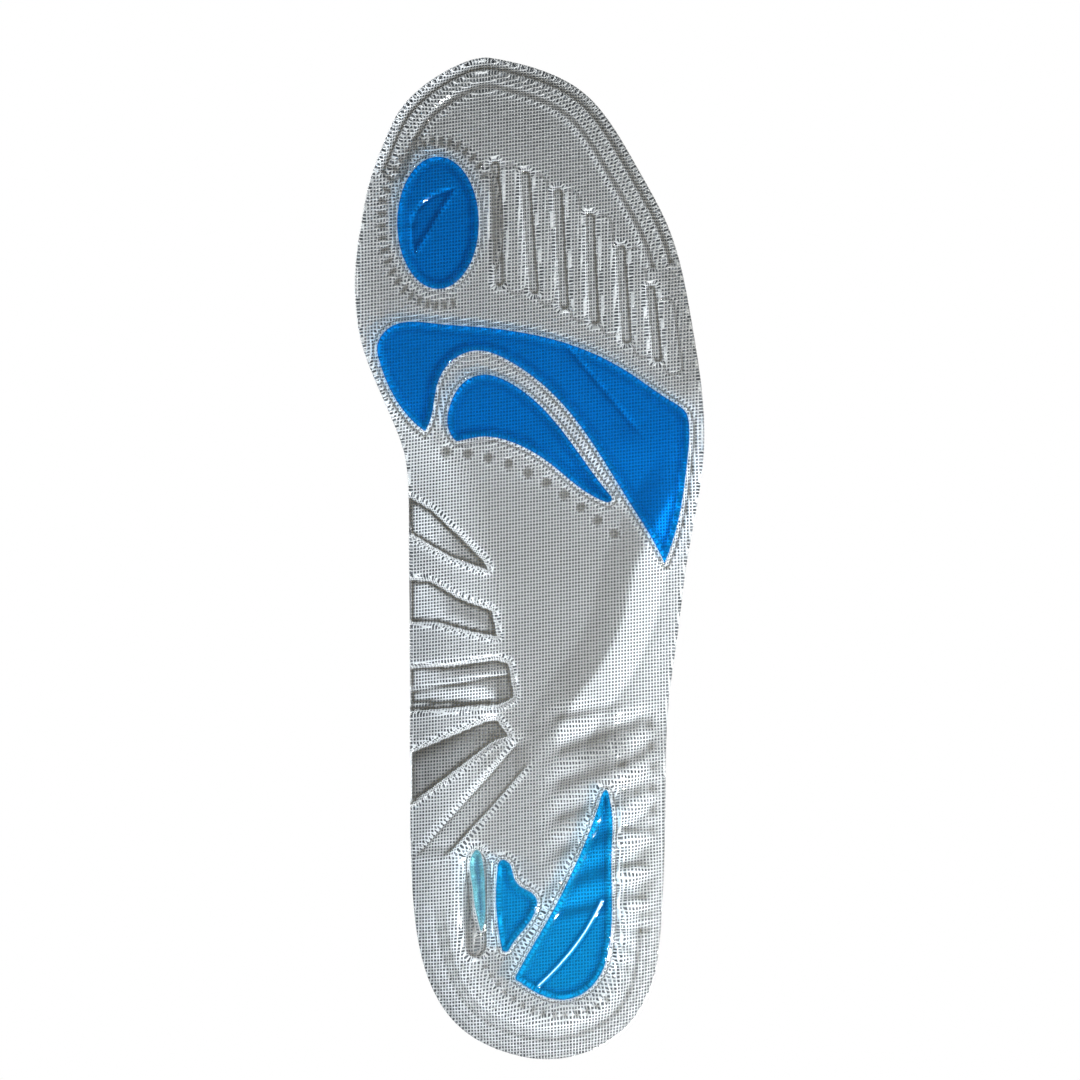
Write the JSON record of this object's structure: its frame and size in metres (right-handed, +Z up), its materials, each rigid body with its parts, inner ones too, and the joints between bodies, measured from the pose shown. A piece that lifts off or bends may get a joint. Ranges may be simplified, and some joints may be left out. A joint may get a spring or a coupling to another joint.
{
  "type": "cushioned insole",
  "caption": "Full-length gel insole with a cupped heel, fluted arch, ribbed toe and separate soft pads under the heel, the ball of the foot and the big toe.",
  "frame": {"origin": "middle of the footprint, on the surface the insole rests on", "axes": "+Z up to the foot, +Y to the toe, +X to the inner (big toe) side"},
  "size_m": [0.101, 0.2902, 0.0196],
  "materials": {
    "clear_gel": "clear, glossy moulded gel",
    "blue_gel": "translucent, glossy moulded gel",
    "pale_blue_gel": "translucent, glossy moulded gel",
    "white_mesh": "open plain weave",
    "grey_cloth": "short-napped cloth"
  },
  "bodies": {
    "root": {"gel_body": "clear_gel", "toe_pad": "blue_gel", "forefoot_outer_pad": "blue_gel", "forefoot_inner_pad": "blue_gel", "heel_lateral_pad": "pale_blue_gel", "heel_fin_pad": "pale_blue_gel", "heel_medial_pad": "pale_blue_gel", "mesh_backing": "white_mesh", "top_cover": "grey_cloth"}
  },
  "joints": []
}
